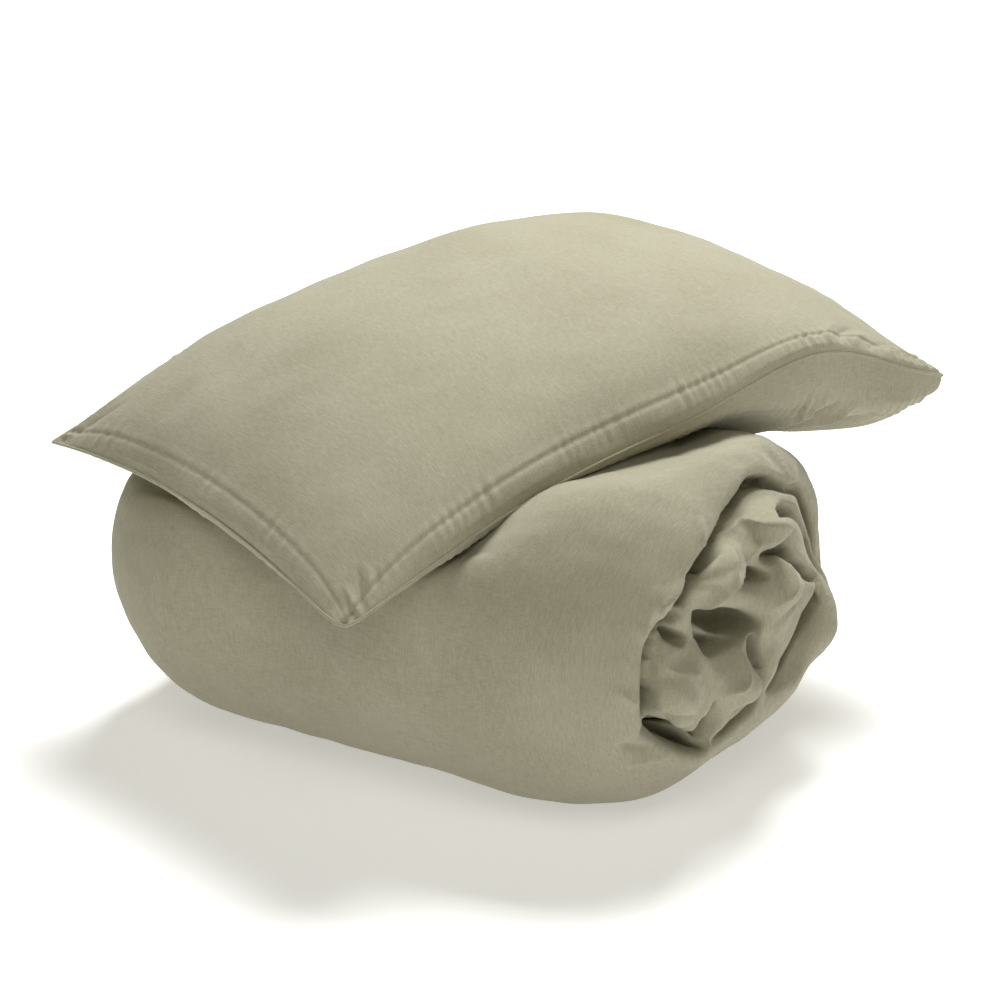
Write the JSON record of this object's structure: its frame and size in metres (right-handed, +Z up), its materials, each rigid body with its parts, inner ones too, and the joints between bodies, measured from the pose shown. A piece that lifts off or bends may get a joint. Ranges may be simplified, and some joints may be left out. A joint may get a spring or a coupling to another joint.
{
  "type": "rolled duvet with pillow",
  "caption": "Duvet in a linen cover, folded in thirds and rolled up, with a matching cased pillow lying across it, for beds and shelves.",
  "frame": {"origin": "on the surface that the roll lies on, under the middle of the whole set's bounding box", "axes": "+X along the roll's axis towards its open spiral end, +Y towards the back, where the cover's buttoned edge hangs, +Z up"},
  "size_m": [0.682, 0.808, 0.4225],
  "materials": {
    "linen": "matte",
    "cotton": "matte",
    "wadding": "matte",
    "tape": "matte",
    "thread": "matte",
    "shell_button": "satin"
  },
  "bodies": {
    "duvet_roll": {"duvet_filling": "wadding", "duvet_ticking_top": "cotton", "duvet_ticking_bottom": "cotton", "duvet_piping_head": "cotton", "duvet_piping_foot": "cotton", "duvet_piping_side_a": "cotton", "duvet_piping_side_b": "cotton", "corner_tie_head_a": "tape", "corner_tie_head_b": "tape", "corner_tie_foot_a": "tape", "corner_tie_foot_b": "tape", "cover_front_panel": "linen", "cover_back_panel": "linen", "cover_seam_head": "linen", "cover_seam_side_a": "linen", "cover_seam_side_b": "linen", "cover_button_band": "linen", "cover_buttonhole_band": "linen", "flap_seam": "linen", "cover_button_1": "shell_button", "cover_button_2": "shell_button", "cover_button_3": "shell_button", "button_shank_1": "thread", "button_shank_2": "thread", "button_shank_3": "thread"},
    "closure_flap": {"button_flap": "linen"},
    "pillow": {"pillow_filling": "wadding", "pillow_ticking_top": "cotton", "pillow_ticking_bottom": "cotton", "pillowcase_front": "linen", "pillowcase_back": "linen", "pillowcase_tuck_flap": "linen", "pillowcase_seam_near": "linen", "pillowcase_seam_far": "linen", "pillowcase_seam_closed": "linen", "pillowcase_hem_front": "linen", "pillowcase_hem_back": "linen"}
  },
  "joints": [
    {"name": "flap_hinge", "type": "hinge", "parent": "duvet_roll", "child": "closure_flap", "pos_m": [0.01096, 0.15796, 0.19708], "axis": [1, 0, 0], "range_deg": [0, 100]},
    {"name": "pillow_lift", "type": "slide", "parent": "duvet_roll", "child": "pillow", "axis": [0, 0, 1], "range_m": [0, 0.35]}
  ]
}
